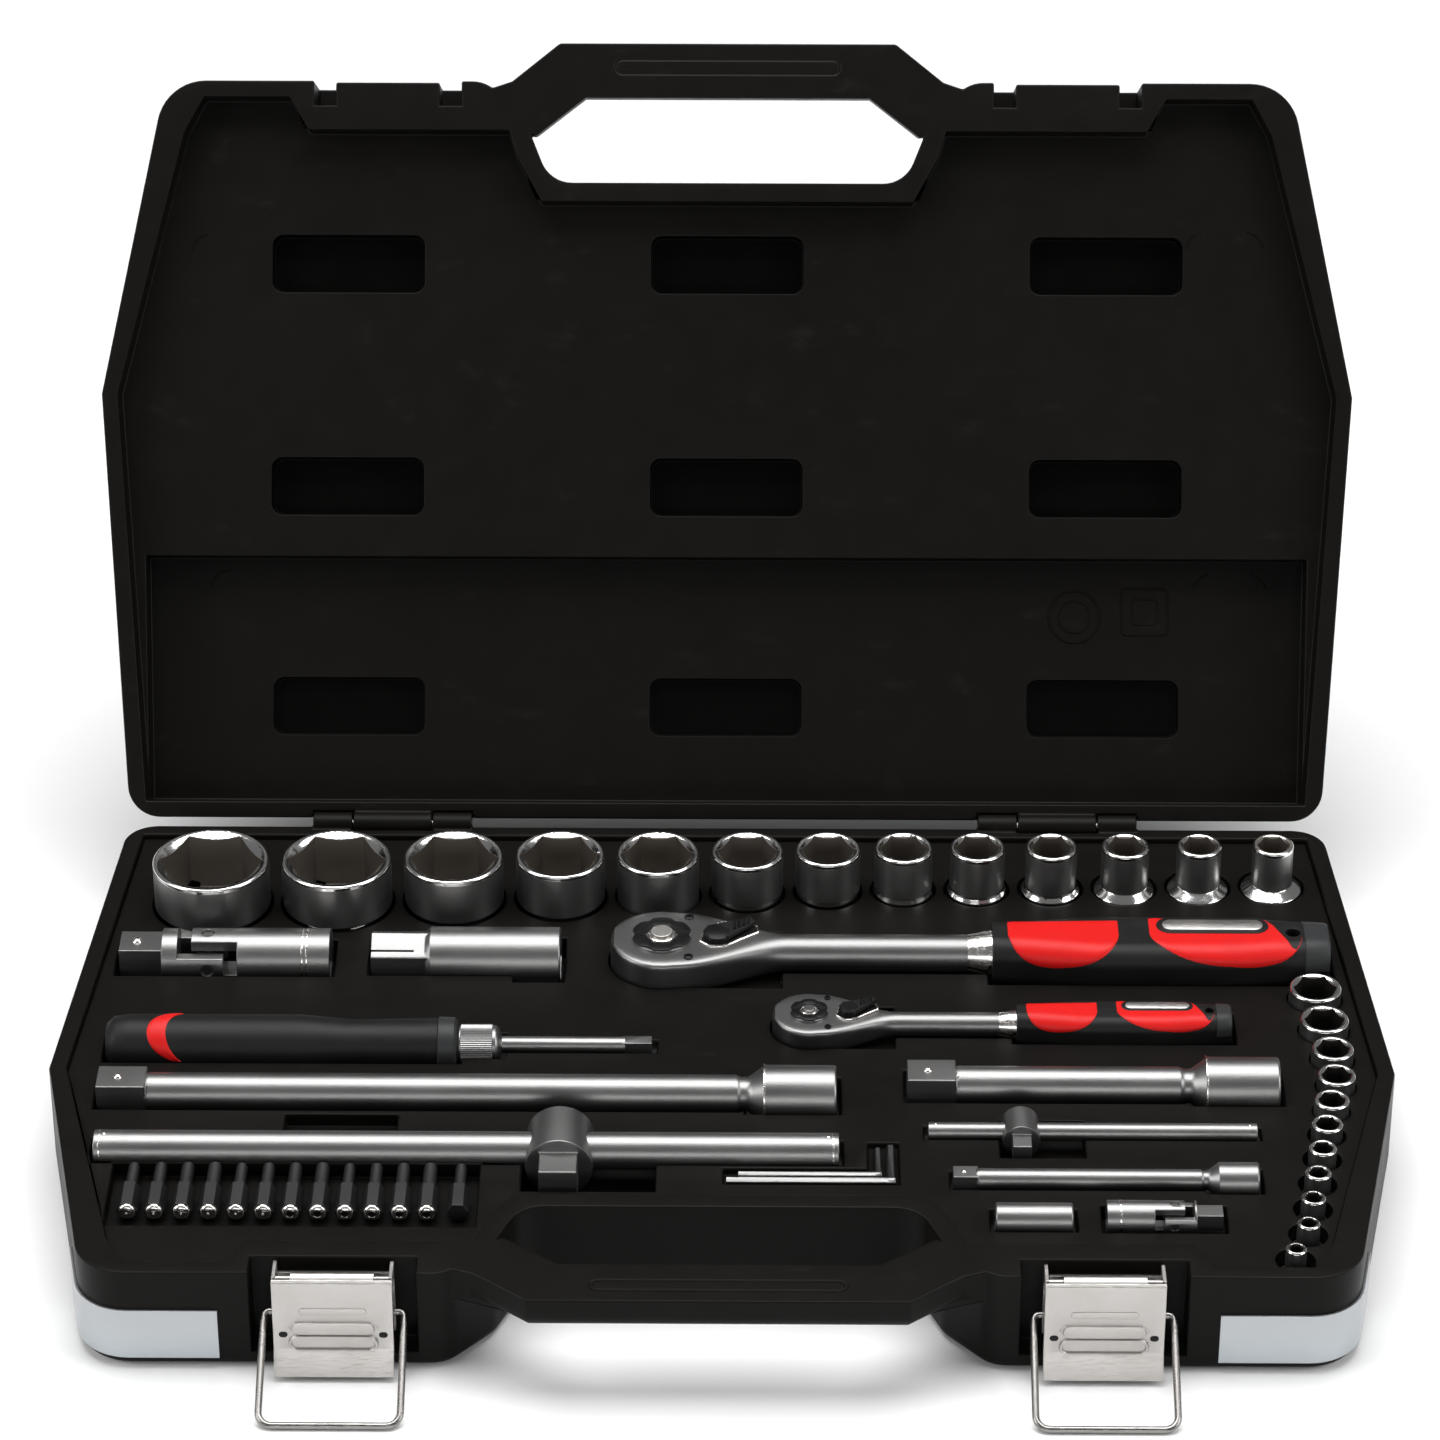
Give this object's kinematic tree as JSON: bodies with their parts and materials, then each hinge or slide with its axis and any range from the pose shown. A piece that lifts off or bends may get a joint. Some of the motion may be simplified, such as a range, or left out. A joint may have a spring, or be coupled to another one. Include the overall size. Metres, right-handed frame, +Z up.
{
  "type": "socket wrench set in case",
  "caption": "Open folding case with moulded tray, two draw latches and handle, holding sockets, ratchets, extensions, sliding T bars, universal joints, hex keys and driver bits.",
  "frame": {"origin": "centre of the underside of the case base, between its front and back walls", "axes": "+X along the hinge line to the right seen from the handle side, +Y towards the hinges, +Z up"},
  "size_m": [0.458, 0.4727, 0.2831],
  "materials": {
    "case_plastic": "moulded black plastic, fine grain",
    "nickel": "nickel plated pressed steel",
    "wire": "plated wire",
    "silver_trim": "satin silver",
    "tool_steel": "satin chrome",
    "bit_steel": "bead blasted steel",
    "grip_rubber": "soft black grip with red inserts",
    "handle_plastic": "black moulded handle"
  },
  "bodies": {
    "case": {"case_base": "case_plastic", "case_tray": "case_plastic", "case_fittings": "nickel"},
    "lid": {"case_lid": "case_plastic"},
    "latch_lever_left": {"latch_lever_left": "nickel"},
    "latch_bail_left": {"latch_bail_left": "wire"},
    "latch_lever_right": {"latch_lever_right": "nickel"},
    "latch_bail_right": {"latch_bail_right": "wire"},
    "ratchet_half": {"ratchet_half_body": "tool_steel", "ratchet_half_grip": "grip_rubber"},
    "ratchet_half_gear": {"ratchet_half_gear": "tool_steel"},
    "ratchet_half_lever": {"ratchet_half_lever": "tool_steel"},
    "ratchet_half_button": {"ratchet_half_button": "tool_steel"},
    "ratchet_quarter": {"ratchet_quarter_body": "tool_steel", "ratchet_quarter_grip": "grip_rubber"},
    "ratchet_quarter_gear": {"ratchet_quarter_gear": "tool_steel"},
    "ratchet_quarter_lever": {"ratchet_quarter_lever": "tool_steel"},
    "joint_half_barrel": {"joint_half_barrel": "tool_steel"},
    "joint_half_cross": {"joint_half_cross": "tool_steel"},
    "joint_half_fork": {"joint_half_fork": "tool_steel"},
    "joint_quarter_barrel": {"joint_quarter_barrel": "tool_steel"},
    "joint_quarter_cross": {"joint_quarter_cross": "tool_steel"},
    "joint_quarter_fork": {"joint_quarter_fork": "tool_steel"},
    "tbar_half_bar": {"tbar_half_bar": "tool_steel"},
    "tbar_half_head": {"tbar_half_head": "tool_steel"},
    "tbar_quarter_bar": {"tbar_quarter_bar": "tool_steel"},
    "tbar_quarter_head": {"tbar_quarter_head": "tool_steel"},
    "extension_half_250": {"extension_half_250": "tool_steel"},
    "extension_half_125": {"extension_half_125": "tool_steel"},
    "extension_quarter_100": {"extension_quarter_100": "tool_steel"},
    "spark_plug_socket": {"spark_plug_socket": "tool_steel"},
    "spinner": {"spinner_handle": "handle_plastic", "spinner_shaft": "tool_steel"},
    "bit_adapter": {"bit_adapter": "tool_steel"},
    "hex_keys": {"hex_keys": "tool_steel"},
    "driver_bits": {"driver_bits": "bit_steel"},
    "socket_half_32": {"socket_half_32": "tool_steel"},
    "socket_half_30": {"socket_half_30": "tool_steel"},
    "socket_half_27": {"socket_half_27": "tool_steel"},
    "socket_half_24": {"socket_half_24": "tool_steel"},
    "socket_half_22": {"socket_half_22": "tool_steel"},
    "socket_half_19": {"socket_half_19": "tool_steel"},
    "socket_half_17": {"socket_half_17": "tool_steel"},
    "socket_half_15": {"socket_half_15": "tool_steel"},
    "socket_half_14": {"socket_half_14": "tool_steel"},
    "socket_half_13": {"socket_half_13": "tool_steel"},
    "socket_half_12": {"socket_half_12": "tool_steel"},
    "socket_half_11": {"socket_half_11": "tool_steel"},
    "socket_half_10": {"socket_half_10": "tool_steel"},
    "socket_quarter_13": {"socket_quarter_13": "tool_steel"},
    "socket_quarter_12": {"socket_quarter_12": "tool_steel"},
    "socket_quarter_10": {"socket_quarter_10": "tool_steel"},
    "socket_quarter_9": {"socket_quarter_9": "tool_steel"},
    "socket_quarter_8": {"socket_quarter_8": "tool_steel"},
    "socket_quarter_7": {"socket_quarter_7": "tool_steel"},
    "socket_quarter_6": {"socket_quarter_6": "tool_steel"},
    "socket_quarter_5_5": {"socket_quarter_5_5": "tool_steel"},
    "socket_quarter_5": {"socket_quarter_5": "tool_steel"},
    "socket_quarter_4_5": {"socket_quarter_4_5": "tool_steel"},
    "socket_quarter_4": {"socket_quarter_4": "tool_steel"}
  },
  "joints": [
    {"name": "lid_hinge", "type": "hinge", "parent": "case", "child": "lid", "pos_m": [0, 0.137, 0.038], "axis": [-1, 0, 0], "range_deg": [-121, 0]},
    {"name": "latch_lever_left_hinge", "type": "hinge", "parent": "case", "child": "latch_lever_left", "pos_m": [-0.1245, -0.1332, 0.0343], "axis": [-1, 0, 0], "range_deg": [0, 110]},
    {"name": "latch_bail_left_hinge", "type": "hinge", "parent": "latch_lever_left", "child": "latch_bail_left", "pos_m": [-0.1245, -0.1315, 0.02], "axis": [1, 0, 0], "range_deg": [-118.03, 0]},
    {"name": "latch_lever_right_hinge", "type": "hinge", "parent": "case", "child": "latch_lever_right", "pos_m": [0.1245, -0.1332, 0.0343], "axis": [-1, 0, 0], "range_deg": [0, 110]},
    {"name": "latch_bail_right_hinge", "type": "hinge", "parent": "latch_lever_right", "child": "latch_bail_right", "pos_m": [0.1245, -0.1315, 0.02], "axis": [1, 0, 0], "range_deg": [-118.03, 0]},
    {"name": "ratchet_half_lift", "type": "slide", "parent": "case", "child": "ratchet_half", "axis": [0, 0, 1], "range_m": [0, 0.06]},
    {"name": "ratchet_half_drive", "type": "hinge", "parent": "ratchet_half", "child": "ratchet_half_gear", "pos_m": [-0.0215, 0.051, 0.039], "axis": [0, 0, 1], "continuous": true},
    {"name": "ratchet_half_reverse", "type": "hinge", "parent": "ratchet_half", "child": "ratchet_half_lever", "pos_m": [-0.00206, 0.051, 0.039], "axis": [0, 0, 1], "range_deg": [-62, 0]},
    {"name": "ratchet_half_release", "type": "slide", "parent": "ratchet_half_gear", "child": "ratchet_half_button", "axis": [0, 0, 1], "range_m": [-0.002, 0], "stiffness_N_per_m": 500, "springref_m": 0.001},
    {"name": "ratchet_quarter_lift", "type": "slide", "parent": "case", "child": "ratchet_quarter", "axis": [0, 0, 1], "range_m": [0, 0.06]},
    {"name": "ratchet_quarter_drive", "type": "hinge", "parent": "ratchet_quarter", "child": "ratchet_quarter_gear", "pos_m": [0.03, 0.009, 0.0375], "axis": [0, 0, 1], "continuous": true},
    {"name": "ratchet_quarter_reverse", "type": "hinge", "parent": "ratchet_quarter", "child": "ratchet_quarter_lever", "pos_m": [0.04361, 0.009, 0.0375], "axis": [0, 0, 1], "range_deg": [-62, 0]},
    {"name": "joint_half_barrel_lift", "type": "slide", "parent": "case", "child": "joint_half_barrel", "axis": [0, 0, 1], "range_m": [0, 0.06]},
    {"name": "joint_half_sideways", "type": "hinge", "parent": "joint_half_barrel", "child": "joint_half_cross", "pos_m": [-0.18092, 0.051, 0.0365], "axis": [0, 0, 1], "range_deg": [-2, 2]},
    {"name": "joint_half_upwards", "type": "hinge", "parent": "joint_half_cross", "child": "joint_half_fork", "pos_m": [-0.18092, 0.051, 0.0365], "axis": [0, 1, 0], "range_deg": [0, 30]},
    {"name": "joint_quarter_barrel_lift", "type": "slide", "parent": "case", "child": "joint_quarter_barrel", "axis": [0, 0, 1], "range_m": [0, 0.06]},
    {"name": "joint_quarter_sideways", "type": "hinge", "parent": "joint_quarter_barrel", "child": "joint_quarter_cross", "pos_m": [0.14854, -0.101, 0.0365], "axis": [0, 0, 1], "range_deg": [-2, 2]},
    {"name": "joint_quarter_upwards", "type": "hinge", "parent": "joint_quarter_cross", "child": "joint_quarter_fork", "pos_m": [0.14854, -0.101, 0.0365], "axis": [0, -1, 0], "range_deg": [0, 30]},
    {"name": "tbar_half_bar_lift", "type": "slide", "parent": "case", "child": "tbar_half_bar", "axis": [0, 0, 1], "range_m": [0, 0.06]},
    {"name": "tbar_half_slide", "type": "slide", "parent": "tbar_half_bar", "child": "tbar_half_head", "axis": [1, 0, 0], "range_m": [0, 0.02]},
    {"name": "tbar_quarter_bar_lift", "type": "slide", "parent": "case", "child": "tbar_quarter_bar", "axis": [0, 0, 1], "range_m": [0, 0.06]},
    {"name": "tbar_quarter_slide", "type": "slide", "parent": "tbar_quarter_bar", "child": "tbar_quarter_head", "axis": [1, 0, 0], "range_m": [0, 0.014]},
    {"name": "extension_half_250_lift", "type": "slide", "parent": "case", "child": "extension_half_250", "axis": [0, 0, 1], "range_m": [0, 0.06]},
    {"name": "extension_half_125_lift", "type": "slide", "parent": "case", "child": "extension_half_125", "axis": [0, 0, 1], "range_m": [0, 0.06]},
    {"name": "extension_quarter_100_lift", "type": "slide", "parent": "case", "child": "extension_quarter_100", "axis": [0, 0, 1], "range_m": [0, 0.06]},
    {"name": "spark_plug_socket_lift", "type": "slide", "parent": "case", "child": "spark_plug_socket", "axis": [0, 0, 1], "range_m": [0, 0.06]},
    {"name": "spinner_lift", "type": "slide", "parent": "case", "child": "spinner", "axis": [0, 0, 1], "range_m": [0, 0.06]},
    {"name": "bit_adapter_lift", "type": "slide", "parent": "case", "child": "bit_adapter", "axis": [0, 0, 1], "range_m": [0, 0.06]},
    {"name": "hex_keys_lift", "type": "slide", "parent": "case", "child": "hex_keys", "axis": [0, 0, 1], "range_m": [0, 0.06]},
    {"name": "driver_bits_lift", "type": "slide", "parent": "case", "child": "driver_bits", "axis": [0, 0, 1], "range_m": [0, 0.06]},
    {"name": "socket_half_32_lift", "type": "slide", "parent": "case", "child": "socket_half_32", "axis": [0, 0, 1], "range_m": [0, 0.06]},
    {"name": "socket_half_30_lift", "type": "slide", "parent": "case", "child": "socket_half_30", "axis": [0, 0, 1], "range_m": [0, 0.06]},
    {"name": "socket_half_27_lift", "type": "slide", "parent": "case", "child": "socket_half_27", "axis": [0, 0, 1], "range_m": [0, 0.06]},
    {"name": "socket_half_24_lift", "type": "slide", "parent": "case", "child": "socket_half_24", "axis": [0, 0, 1], "range_m": [0, 0.06]},
    {"name": "socket_half_22_lift", "type": "slide", "parent": "case", "child": "socket_half_22", "axis": [0, 0, 1], "range_m": [0, 0.06]},
    {"name": "socket_half_19_lift", "type": "slide", "parent": "case", "child": "socket_half_19", "axis": [0, 0, 1], "range_m": [0, 0.06]},
    {"name": "socket_half_17_lift", "type": "slide", "parent": "case", "child": "socket_half_17", "axis": [0, 0, 1], "range_m": [0, 0.06]},
    {"name": "socket_half_15_lift", "type": "slide", "parent": "case", "child": "socket_half_15", "axis": [0, 0, 1], "range_m": [0, 0.06]},
    {"name": "socket_half_14_lift", "type": "slide", "parent": "case", "child": "socket_half_14", "axis": [0, 0, 1], "range_m": [0, 0.06]},
    {"name": "socket_half_13_lift", "type": "slide", "parent": "case", "child": "socket_half_13", "axis": [0, 0, 1], "range_m": [0, 0.06]},
    {"name": "socket_half_12_lift", "type": "slide", "parent": "case", "child": "socket_half_12", "axis": [0, 0, 1], "range_m": [0, 0.06]},
    {"name": "socket_half_11_lift", "type": "slide", "parent": "case", "child": "socket_half_11", "axis": [0, 0, 1], "range_m": [0, 0.06]},
    {"name": "socket_half_10_lift", "type": "slide", "parent": "case", "child": "socket_half_10", "axis": [0, 0, 1], "range_m": [0, 0.06]},
    {"name": "socket_quarter_13_lift", "type": "slide", "parent": "case", "child": "socket_quarter_13", "axis": [0, 0, 1], "range_m": [0, 0.06]},
    {"name": "socket_quarter_12_lift", "type": "slide", "parent": "case", "child": "socket_quarter_12", "axis": [0, 0, 1], "range_m": [0, 0.06]},
    {"name": "socket_quarter_10_lift", "type": "slide", "parent": "case", "child": "socket_quarter_10", "axis": [0, 0, 1], "range_m": [0, 0.06]},
    {"name": "socket_quarter_9_lift", "type": "slide", "parent": "case", "child": "socket_quarter_9", "axis": [0, 0, 1], "range_m": [0, 0.06]},
    {"name": "socket_quarter_8_lift", "type": "slide", "parent": "case", "child": "socket_quarter_8", "axis": [0, 0, 1], "range_m": [0, 0.06]},
    {"name": "socket_quarter_7_lift", "type": "slide", "parent": "case", "child": "socket_quarter_7", "axis": [0, 0, 1], "range_m": [0, 0.06]},
    {"name": "socket_quarter_6_lift", "type": "slide", "parent": "case", "child": "socket_quarter_6", "axis": [0, 0, 1], "range_m": [0, 0.06]},
    {"name": "socket_quarter_5_5_lift", "type": "slide", "parent": "case", "child": "socket_quarter_5_5", "axis": [0, 0, 1], "range_m": [0, 0.06]},
    {"name": "socket_quarter_5_lift", "type": "slide", "parent": "case", "child": "socket_quarter_5", "axis": [0, 0, 1], "range_m": [0, 0.06]},
    {"name": "socket_quarter_4_5_lift", "type": "slide", "parent": "case", "child": "socket_quarter_4_5", "axis": [0, 0, 1], "range_m": [0, 0.06]},
    {"name": "socket_quarter_4_lift", "type": "slide", "parent": "case", "child": "socket_quarter_4", "axis": [0, 0, 1], "range_m": [0, 0.06]}
  ]
}
